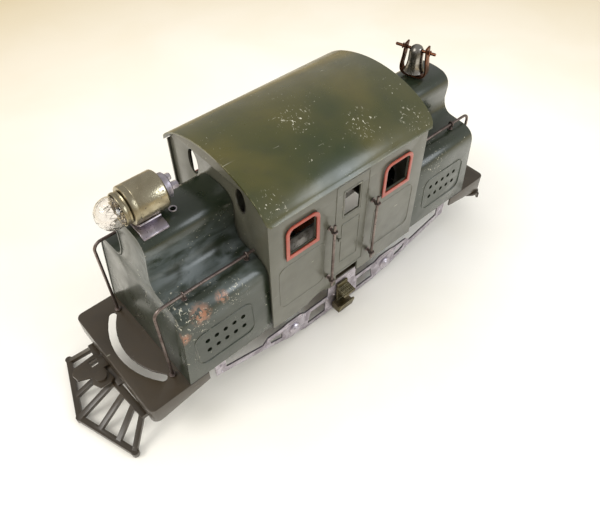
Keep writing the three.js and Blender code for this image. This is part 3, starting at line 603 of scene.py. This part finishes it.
def formed_sheet(line, x0, x1, thickness=SHEET, lean=0.0):
    """Sheet metal bent to a line in Y and Z; with `lean`, its far end tips back with height."""
    inner = offset_line(line, thickness)
    bm = bmesh.new()
    stations = []
    for x, leaning in ((x0, 0), (x1, lean)):
        row = [bm.verts.new((x - leaning * (z - DECK_Z), y, z)) for y, z in line]
        back = [bm.verts.new((x - leaning * (z - DECK_Z), y, z)) for y, z in inner]
        stations.append(row + back[::-1])
    near, far = stations
    count = len(near)
    half = len(line)
    for i in range(count):
        j = (i + 1) % count
        bm.faces.new((near[i], near[j], far[j], far[i]))
    for ring in stations:
        for i in range(half - 1):
            bm.faces.new((ring[i], ring[i + 1], ring[count - 2 - i], ring[count - 1 - i]))
    bmesh.ops.recalc_face_normals(bm, faces=bm.faces)
    return bm


# ------------------------------------------------------------------------------------- hoods
def hood_line(crown):
    half = [(31.9, DECK_Z + GAP), (31.4, 42.0), (30.9, 59.0)]
    half += curve_through((30.9, 59), (30.6, 66.6), (22.5, 67), 14)
    half += [(16, 67.6)]
    half += curve_through((16, 67.6), (11, 68.2), (10.4, 75), 10)
    half += [(10.9, crown - 8)]
    half += curve_through((10.9, crown - 8), (11.2, crown - 2.4), (6.5, crown - 0.7), 10)
    half += curve_through((6.5, crown - 0.7), (3.5, crown), (0, crown), 5)
    return both_sides(half)


def side_y(z):
    """The hood's side leans in slightly with height."""
    return 31.9 - (z - DECK_Z) / 33.5


def hood_shell(crown, lean):
    shell = softened(formed_sheet(hood_line(crown), CAB_HALF + GAP, HOOD_END, lean=lean), 0.2, 2, 50)
    vented = carve(shell, vent_cutters(1) + vent_cutters(-1))
    return joined(vented, vent_ridge(1), vent_ridge(-1))


def vent_cutters(side):
    cutters = []
    for column in range(5):
        for z in (40.2, 46.3):
            low = 28 if side > 0 else -34
            cutters.append(rod(1.15, 6, axis_y(59 + 4.45 * column, low, z), 16, 0.01))
    return cutters


def vent_ridge(side):
    """The raised line that frames the ventilation holes, pressed outwards from the side."""
    outline = rounded_box(53.8, 82.6, 33.2, 52.4, 4.2)
    return wire([(x, side * (side_y(z) - 0.12), z) for x, z in outline], 0.42, closed=True)


def end_plate(crown, lean):
    inset = offset_line(hood_line(crown), SHEET + GAP)
    bm = plate([inset], HOOD_END - SHEET - 0.2, HOOD_END - 0.2, SECTION)
    for vert in bm.verts:
        vert.co.x -= lean * (vert.co.z - DECK_Z)
    return bm


def make_hoods():
    wire_hole = rod(1.2, 20, Matrix.Translation((65.5, 2.5, 80)), 16, 0.01)
    eyelet = lathe([(1.15, 0), (1.7, 0), (1.6, 0.3), (1.25, 0.3), (1.15, 0)], 20,
                   Matrix.Translation((65.5, 2.5, FRONT_CROWN_Z - 0.12)))
    front = carve(hood_shell(FRONT_CROWN_Z, FRONT_LEAN), [wire_hole])
    piece("front_hood_skin", front, PAINT["hood"], "front_hood")
    piece("wire_eyelet", eyelet, METAL["nickel"], "front_hood", slot="nickel", body="chassis")
    rear = moved(hood_shell(REAR_CROWN_Z, REAR_LEAN), TURNED)
    piece("rear_hood_skin", rear, PAINT["hood"], "rear_hood")
    piece("front_hood_end", end_plate(FRONT_CROWN_Z, FRONT_LEAN), PAINT["hood"], "front_hood_end_plate")
    rear_end = moved(end_plate(REAR_CROWN_Z, REAR_LEAN), TURNED)
    piece("rear_hood_end", rear_end, PAINT["hood"], "rear_hood_end_plate")


# ------------------------------------------------------------------------------------- cab
WINDOW_X = {"front": 28, "rear": -27}
EAVE_Y = 35.6
ROOF_REAR, ROOF_FRONT = -45.6, 46.2


def roof_line():
    half = [(EAVE_Y, 92.6), (34.6, 93.4)]
    half += curve_through((34.6, 93.4), (31.5, 98.6), (23, 102.5), 16)
    half += curve_through((23, 102.5), (11.8, 107), (0, 107), 16)
    return both_sides(half)


def make_roof():
    sheet = formed_sheet(roof_line(), ROOF_REAR, ROOF_FRONT)
    corners = plate([rounded_box(ROOF_REAR, ROOF_FRONT, -EAVE_Y, EAVE_Y, 3)], 80, 120)
    piece("roof_skin", softened(carve(sheet, [corners], "INTERSECT"), 0.2, 2, 50), PAINT["roof"], "roof")


def raised_line(outline, y=CAB_FACE, radius=0.34):
    return wire([(x, y - 0.08, z) for x, z in outline], radius, closed=True)


def make_cab_sides():
    sill = DECK_Z - 0.2
    arch = curve_through((10.5, sill), (17, 30.6), (25, sill), 12)
    end = CAB_HALF + SHEET
    outline = [(-end, sill), (-7, sill), (-7, 32), (7, 32), (7, sill), (10.5, sill)]
    outline += arch + [(end, sill), (end, 93.3), (-end, 93.3)]
    holes = [
        window_outline(7.1, 68.5, 82.9, 2.6, WINDOW_X["front"]),
        window_outline(7.1, 68.5, 82.9, 2.6, WINDOW_X["rear"]),
        window_outline(4.4, 69.8, 83.3, 0.4),
    ]
    skin = plate([outline, *holes], CAB_FACE - SHEET, CAB_FACE, ELEVATION)
    lines = [
        raised_line(rounded_box(-9.3, 9.3, 33.2, 88.5, 0.6)),
        raised_line(rounded_box(-5.3, 5.3, 40.3, 65, 0.5)),
        raised_line(rounded_box(-5.3, 5.3, 68.9, 84.2, 0.5), radius=0.28),
        raised_line(rounded_box(15, 40.5, 36, 62, 3.5), radius=0.26),
        raised_line(rounded_box(-40.5, -15, 36, 62, 3.5), radius=0.26),
    ]
    knob_profile = [(0, -0.4), (0.5, -0.4), (0.45, 0.5), (0.95, 0.9), (0.9, 1.5), (0, 1.75)]
    knob = lathe(knob_profile, 16, axis_y(7.4, CAB_FACE, 58))
    hinges = [rod(0.55, 3.2, Matrix.Translation((-9.4, CAB_FACE, z)), 12) for z in (44, 74)]
    left = joined(skin, *lines, knob, *hinges)
    piece("cab_side_left_skin", left.copy(), PAINT["cab"], "cab_side_left")
    piece("cab_side_right_skin", moved(left, MIRRORED), PAINT["cab"], "cab_side_right")


def make_window_frames():
    low = CAB_FACE + GAP
    for end, x in WINDOW_X.items():
        outer = window_outline(8.9, 66.4, 84.6, 3.8, x)
        inner = window_outline(7.1, 68.5, 82.9, 2.6, x)
        frame_shape = plate([outer, inner], low, low + 0.7, ELEVATION, 0.3)
        for side, matrix in (("left", Matrix.Identity(4)), ("right", MIRRORED)):
            node = f"window_frame_{side}_{end}"
            piece(f"{node}_fine", moved(frame_shape, matrix), PAINT["red"], node)


def make_cab_ends():
    arch = [p for p in offset_line(roof_line(), SHEET + GAP) if abs(p[0]) < 31.6]
    half = CAB_FACE - SHEET - GAP
    low = DECK_Z + GAP
    wall = [(half, low), (half, 93.5), *arch, (-half, 93.5), (-half, low), (-20, low)]
    wall += [(-20, 57)] + arc((-17, 57), 3, 180, 90, 5)[1:] + arc((17, 57), 3, 90, 0, 5) + [(20, low)]
    portholes = []
    for side in (-1, 1):
        ring = arc((0, 0), 1, 0, 360, 28)[:-1]
        portholes.append([(side * 15.6 + 3.3 * a, 91 + 6.4 * b) for a, b in ring])
    shape = plate([wall, *portholes], CAB_HALF - SHEET, CAB_HALF, SECTION)
    piece("cab_end_front_skin", shape.copy(), PAINT["cab"], "cab_end_front")
    piece("cab_end_rear_skin", moved(shape, TURNED), PAINT["cab"], "cab_end_rear")


# ------------------------------------------------------------------------------------- handrails
def split_pin(foot, eye, along):
    """A split pin: two legs closed together, and an eye round the rail."""
    foot = Vector(foot)
    eye = Vector(eye)
    up = (eye - foot).normalized()
    side = up.cross(Vector(along)).normalized()
    turns = [2 * math.pi * i / 16 for i in range(16)]
    ring = [eye + 1.15 * (math.cos(a) * up + math.sin(a) * side) for a in turns]
    legs = [wire([foot + side * s * 0.3, eye - up * 1.0 + side * s * 0.35], 0.42) for s in (-1, 1)]
    upright = Matrix.Translation(foot) @ up.to_track_quat("Z", "Y").to_matrix().to_4x4()
    washer = rod(1.25, 0.35, upright, 16, 0.1)
    return joined(wire(ring, 0.4, closed=True), *legs, washer)


def make_hood_handrails():
    y, rail, leg = 22.6, 70.0, 91.8
    bend = [(x, y, z) for x, z in arc((leg - 4, rail - 4), 4, 0, 90, 8)]
    line = [(leg, y, DECK_Z + GAP)] + bend + [(68, y, rail + 0.15), (57, y, rail - 0.1), (44.6, y, rail)]
    foot = rod(1.5, 0.7, Matrix.Translation((leg, y, DECK_Z + GAP)), 20, 0.25)
    pins = [split_pin((x, y, 67.3), (x, y, rail), (1, 0, 0)) for x in (78.5, 48.5)]
    left = joined(wire(line, 0.68), foot, *pins)
    for name, matrix in (
        ("front_left", Matrix.Identity(4)),
        ("front_right", MIRRORED),
        ("rear_right", TURNED),
        ("rear_left", TURNED @ MIRRORED),
    ):
        piece(f"hood_rail_{name}", moved(left, matrix), METAL["rail"], f"hood_handrail_{name}")


def make_cab_handrails():
    y, x = 36.2, 12.8
    for end, place in (("front", x), ("rear", -x)):
        upright = wire([(place, y, 33), (place, y, 50), (place, y, 72.5)], 0.68)
        pins = [split_pin((place, CAB_FACE + GAP, z), (place, y, z), (0, 0, 1)) for z in (36.5, 68.5)]
        left = joined(upright, *pins)
        for side, matrix in (("left", Matrix.Identity(4)), ("right", MIRRORED)):
            piece(f"cab_rail_{side}_{end}", moved(left, matrix), METAL["rail"], f"cab_handrail_{side}_{end}")


# ------------------------------------------------------------------------------------- headlight
LAMP_X, LAMP_Z, LAMP_R, LAMP_LENGTH = 67.5, 102.0, 7.75, 14.5


def make_headlight():
    front = LAMP_X + LAMP_LENGTH
    r, long = LAMP_R, LAMP_LENGTH
    shoulder = [(r - 1.2 + 1.2 * math.sin(a), 1.2 - 1.2 * math.cos(a)) for a in (0, 0.4, 0.8, 1.2, 1.57)]
    lip = [(r - 0.5 + 0.5 * math.cos(a), long - 0.5 + 0.5 * math.sin(a)) for a in (0, 0.8, 1.57)]
    profile = [(6.1, 0)] + shoulder + [(r, long - 2.6), (r - 0.12, long - 2.4), (r, long - 2.2)] + lip
    profile += [(5.0, long), (5.0, long - 1), (r - 1, long - 1), (r - 1, 1), (6.1, 1), (6.1, 0)]
    piece("lamp_barrel", lathe(profile, 64, axis_x(LAMP_X, 0, LAMP_Z)), METAL["brass"], "headlight_barrel")
    neck = [(0, -5), (4.6, -5), (4.6, GAP), (6.2, GAP), (6.45, 0.6), (6.2, 1.1), (6.5, 1.7), (6.5, 2.5),
            (6.35, 2.8), (6.1, 2.7), (5.0, 0.8), (3.1, 0.8), (3.1, -3), (0, -3)]
    piece("lamp_neck", lathe(neck, 64, axis_x(front, 0, LAMP_Z)), METAL["brass"], "headlight_socket")
    cap = [(0, -3.2), (4.2, -3.2), (5.0, -2.6), (5.1, -1.2), (5.7, -0.4), (5.7, 0.8), (0, 0.8)]
    terminals = [rod(1.5, 3.2, axis_x(LAMP_X - 6, y, LAMP_Z + 0.6), 6, 0.3) for y in (-2.6, 2.6)]
    cap_shape = joined(lathe(cap, 48, axis_x(LAMP_X, 0, LAMP_Z)), *terminals)
    piece("lamp_cap", cap_shape, METAL["nickel"], "headlight_cap")
    refined("headlight_bracket", METAL["nickel"], 0.25)


def make_bulb():
    front = LAMP_X + LAMP_LENGTH
    globe, centre, wall = 6.2, 5.2, 0.4
    steps = 22

    def shell(radius, throat, tail):
        points = [(0, tail), (throat, tail), (throat + 0.1, 1.0)]
        for i in range(steps + 1):
            angle = math.radians(120) * (1 - i / steps)
            points.append((radius * math.sin(angle), centre + radius * math.cos(angle)))
        points[-1] = (0, centre + radius)
        return points

    place = axis_x(front, 0, LAMP_Z)
    outside = lathe(shell(globe, 2.7, -2.5), 48, place)
    inside = lathe(shell(globe - wall, 2.3, -2.1), 48, place)
    bmesh.ops.reverse_faces(inside, faces=inside.faces)
    piece("bulb_glass", joined(outside, inside), GLASS, "headlight_bulb")
    stem = lathe([(0, -1.9), (1.9, -1.9), (1.5, 1.0), (0.7, 2.2), (0.9, 3.0), (0, 3.2)], 20, place)
    zigzag = []
    for i in range(13):
        angle = math.radians(-150 + 25 * i)
        zigzag.append((front + (7.2 if i % 2 else 4.4), 2.8 * math.sin(angle), LAMP_Z + 2.8 * math.cos(angle)))
    supports = [wire([(front + 3.0, 0, LAMP_Z), zigzag[i]], 0.12) for i in (0, 12)]
    filament = joined(stem, wire(zigzag, 0.13), *supports)
    piece("bulb_filament", filament, METAL["bell"], "headlight_bulb", slot="nickel", body="chassis")


# ------------------------------------------------------------------------------------- bell
BELL_X = -72
BELL_TURN = 16.5  # degrees, seen from above
BELL_PLACE = Matrix.Translation((BELL_X, 0, 0)) @ Matrix.Rotation(math.radians(BELL_TURN), 4, "Z")
YOKE_Z = REAR_CROWN_Z + GAP
PIN_HEIGHT = 13.3
PIN_Z = YOKE_Z + PIN_HEIGHT


def make_bell():
    half = [(5.6, PIN_Z + 2.6), (6.1, YOKE_Z + 9.5)]
    half += curve_through((6.1, YOKE_Z + 9.5), (6.6, YOKE_Z + 6.2), (6.75, YOKE_Z + 4.6), 4)
    half += curve_through((6.75, YOKE_Z + 4.6), (7.1, YOKE_Z), (2.5, YOKE_Z), 8)
    half += [(0, YOKE_Z)]
    strap = formed_sheet(both_sides(half), -2, 2, -0.9)
    hole = rod(1.0, 30, axis_y(0, -15, PIN_Z), 20, 0.01)
    yoke = softened(carve(strap, [hole]), 0.2, 2, 40)
    piece("bell_stand", moved(yoke, BELL_PLACE), METAL["copper"], "bell_yoke")
    pin = rod(0.7, 20, axis_y(0, -10.6, PIN_Z), 20, 0.25)
    nuts = [rod(1.3, 0.5, axis_y(0, y, PIN_Z), 6, 0.1) for y in (-7.2, 6.4)]
    piece("bell_spindle", moved(joined(pin, *nuts), BELL_PLACE), METAL["copper"], "bell_pin")
    outside = [(0, 2.3), (0.9, 2.15), (1.7, 1.85), (2.5, 1.2), (3.1, 0.2), (3.4, -1.2), (3.45, -3), (3.5, -4.8),
               (3.6, -6.2), (3.85, -7.8), (4.3, -9.3), (4.75, -10.2), (4.9, -10.5), (4.8, -10.6)]
    inside = [(4.1, -10.6), (3.5, -9.3), (3.1, -8), (2.85, -5.5), (2.75, -3.8), (2.2, -2.6), (1.2, -2.1),
              (0, -2)]
    shell = lathe(outside + inside, 48, Matrix.Translation((0, 0, PIN_Z)))
    bell = carve(shell, [rod(1.0, 30, axis_y(0, -15, PIN_Z), 20, 0.01)])
    piece("bell_shell", moved(bell, BELL_PLACE), METAL["bell"], "bell")


# ------------------------------------------------------------------------------------- side frames and steps
def make_side_frames():
    half = [(9, 24.2), (9.4, 15.6), (24, 15.6), (27, 17.4), (35, 17.4), (38, 16.6), (47, 16.6), (50, 13.4),
            (70.5, 18.4), (70.5, 24.2), (76, 24.2), (76, 16.6), (51, 10.2), (38, 6), (33.5, 4.2),
            (28, 4.2), (24, 2.6)]
    outline = half + [(-x, z) for x, z in reversed(half)]
    holes = []
    for end in (-1, 1):
        holes.append([(end * x, z) for x, z in ((11, 5.2), (22.6, 5.2), (20.8, 13), (10.6, 13))])
        holes.append([(end * x, z) for x, z in ((38.6, 9), (45.4, 11), (46, 14), (38.6, 13))])
    y = 30
    body = plate([outline, *holes], y, y + 1, ELEVATION, 0.2)
    trim = []
    rivets = ((9.4, 4.2), (9.8, 14.4), (24.6, 14.2), (25.4, 5.0), (36.4, 15), (36.6, 8), (48, 15), (48.4, 11),
              (62, 15.2), (73.2, 22.4), (73.2, 17.6), (5.2, 14.0), (5.2, 5.0))
    for end in (-1, 1):
        x = end * 31
        box_profile = [(0, 0.4), (3.3, 0.4), (3.3, 1.5), (2.9, 2.0), (2.2, 2.1), (1.9, 2.55), (0, 2.6)]
        trim.append(lathe(box_profile, 24, axis_y(x, y, 9.8)))
        for rivet_x, rivet_z in rivets:
            trim.append(dome(0.62, 0.5, axis_y(end * rivet_x, y + 1, rivet_z)))
        spring = [(x - 6 + 0.15 * i, y + 1.0, 15.7 + 0.25 * math.sin(i * 0.9)) for i in range(81)]
        trim.append(wire(spring, 0.35, resolution=1))
    left = joined(body, *trim)
    piece("side_truss_left", left.copy(), METAL["nickel"], "side_frame_left")
    piece("side_truss_right", moved(left, MIRRORED), METAL["nickel"], "side_frame_right")


def make_steps():
    left = softened(from_cad("step_left"), 0.3)
    for column in range(6):
        for row in range(3):
            y = 33 + 1.5 * row
            stud = Matrix.Translation((-2.6 + 1.2 * column, y, 18.2 - 0.153 * (y - 31.3)))
            left = joined(left, dome(0.42, 0.28, stud, 6))
    piece("step_left_fine", left.copy(), METAL["step"], "step_left")
    piece("step_right_fine", moved(left, MIRRORED), METAL["step"], "step_right")


# ------------------------------------------------------------------------------------- the rest of the engine
def make_running_gear():
    for node in ("platform", "pilot", "front_coupler", "rear_coupler"):
        refined(node, PAINT["brown"], 0.3, 3)
    for node in ("front_coupler_rivet", "rear_coupler_rivet", "front_axle", "rear_axle",
                 "motor_plate_left", "motor_plate_right"):
        refined(node, METAL["steel"], 0.15)
    for node in ("front_wheel_left", "front_wheel_right", "rear_wheel_left", "rear_wheel_right", "field_core"):
        refined(node, METAL["iron"], 0.12)
    for node in ("intermediate_gear_front", "intermediate_gear_rear", "pickup_arm_front", "pickup_arm_rear",
                 "pickup_roller_front", "pickup_roller_rear"):
        refined(node, METAL["gear"], 0.08)
    for node, material in (("field_coil", WINDING), ("armature", METAL["copper"]), ("brush_plate", FIBRE),
                           ("pickup_plate", FIBRE)):
        refined(node, material, 0.12)


# ------------------------------------------------------------------------------------- floor and light
def make_floor():
    bm = bmesh.new()
    half = 1.6
    bmesh.ops.create_grid(bm, x_segments=2, y_segments=2, size=half)
    mesh = bpy.data.meshes.new("floor")
    bm.to_mesh(mesh)
    bm.free()
    mesh.materials.append(cloth_floor("cream_cloth"))
    floor = bpy.data.objects.new("floor", mesh)
    bpy.context.collection.objects.link(floor)


def area_light(name, place, target, size, power, colour):
    data = bpy.data.lights.new(name, "AREA")
    data.shape = "DISK"
    data.size = size
    data.energy = power
    data.color = colour
    light = bpy.data.objects.new(name, data)
    light.location = place
    light.rotation_euler = (Vector(place) - Vector(target)).to_track_quat("Z", "Y").to_euler()
    bpy.context.collection.objects.link(light)


ROOM = 0.98  # strength of the room's light
REFLECTED_ROOM = 0.46  # strength of the room as polished surfaces show it


def make_light():
    world = bpy.data.worlds.new("room")
    world.use_nodes = True
    background = world.node_tree.nodes["Background"]
    background.inputs["Color"].default_value = (1.0, 0.98, 0.94, 1)
    # Not physical: reflections see a dimmer room than the one that lights everything, so the enamel stays dark.
    tree = world.node_tree
    glossy = tree.nodes.new("ShaderNodeLightPath").outputs["Is Glossy Ray"]
    strength = tree.nodes.new("ShaderNodeMath")
    strength.operation = "MULTIPLY_ADD"
    strength.inputs[1].default_value = REFLECTED_ROOM - ROOM
    strength.inputs[2].default_value = ROOM
    tree.links.new(glossy, strength.inputs[0])
    tree.links.new(strength.outputs[0], background.inputs["Strength"])
    bpy.context.scene.world = world
    middle = (MIDDLE_X, 0, 0.05)
    area_light("key", (0.95, -0.30, 1.0), middle, 0.7, 7, (1.0, 0.98, 0.95))
    area_light("window", (-0.6, 1.0, 0.65), middle, 0.7, 6, (0.88, 0.94, 1.0))
    bpy.context.scene.view_settings.view_transform = "Standard"


make_camera()
make_hoods()
make_roof()
make_cab_sides()
make_window_frames()
make_cab_ends()
make_hood_handrails()
make_cab_handrails()
make_headlight()
make_bulb()
make_bell()
make_side_frames()
make_steps()
make_running_gear()
make_floor()
make_light()
